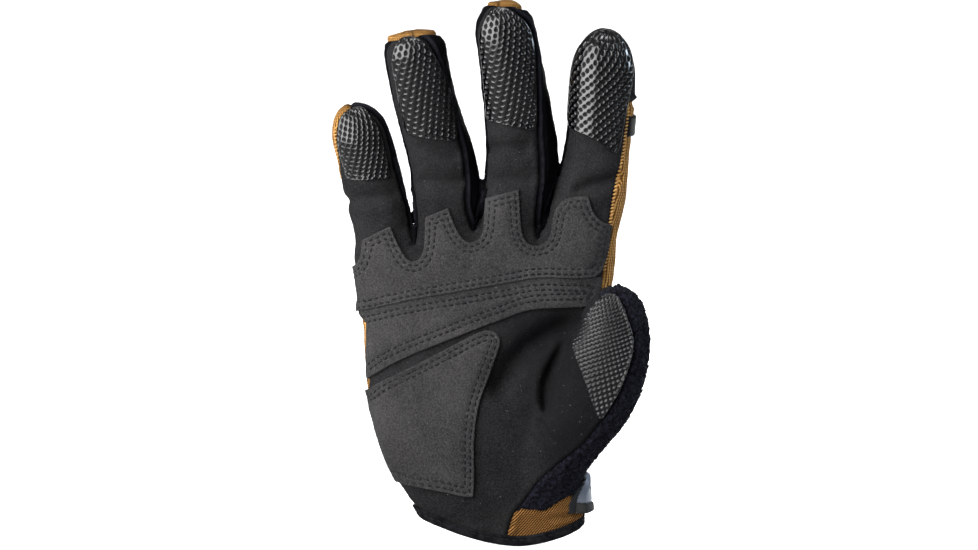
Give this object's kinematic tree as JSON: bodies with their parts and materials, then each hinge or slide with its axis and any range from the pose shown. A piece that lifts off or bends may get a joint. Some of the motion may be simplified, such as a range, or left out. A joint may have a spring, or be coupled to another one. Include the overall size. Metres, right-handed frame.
{
  "type": "tactical glove",
  "caption": "Right-hand tactical glove held open: suede palm with sewn overlays, raised grip prints on the digit tips, tan knit back, terry thumb and strapped cuff.",
  "frame": {"origin": "in the wrist opening, at the height of the lowest point of the cuff's edge", "axes": "+Z from the wrist along the fingers, +Y from the palm to the back of the hand, +X towards the thumb side"},
  "size_m": [0.1301, 0.0606, 0.2233],
  "materials": {
    "suede": "black synthetic suede, matt, short nap",
    "overlay_suede": "black synthetic suede, matt, slightly greyer than the palm",
    "knit": "coyote tan ribbed knit with a soft sheen",
    "stretch": "deep black stretch cloth, smooth and matt",
    "terry": "black terry towelling with a fuzzy surface",
    "binding": "black woven binding tape",
    "grip_print": "black glossy raised print with round holes",
    "thumb_print": "black half-glossy print of raised dashes",
    "band_rubber": "black flexible rubber, satin",
    "strap_web": "black hook-and-loop strap",
    "tab_rubber": "dark grey moulded rubber with a clear shine"
  },
  "bodies": {
    "root": {"palm_panel": "suede", "back_panel": "knit", "cuff_flap": "knit", "gusset_little_ring": "stretch", "gusset_ring_middle": "stretch", "gusset_middle_index": "stretch", "thumb_terry": "terry", "cuff_binding": "binding", "finger_overlay": "overlay_suede", "band_overlay": "overlay_suede", "heel_pad": "overlay_suede", "grip_little": "grip_print", "grip_ring": "grip_print", "grip_middle": "grip_print", "grip_index": "grip_print", "grip_thumb": "thumb_print", "joint_band_little": "band_rubber", "joint_band_ring": "band_rubber", "joint_band_middle": "band_rubber", "joint_band_index": "band_rubber", "wrist_strap": "strap_web", "pull_tab": "tab_rubber"}
  },
  "joints": []
}
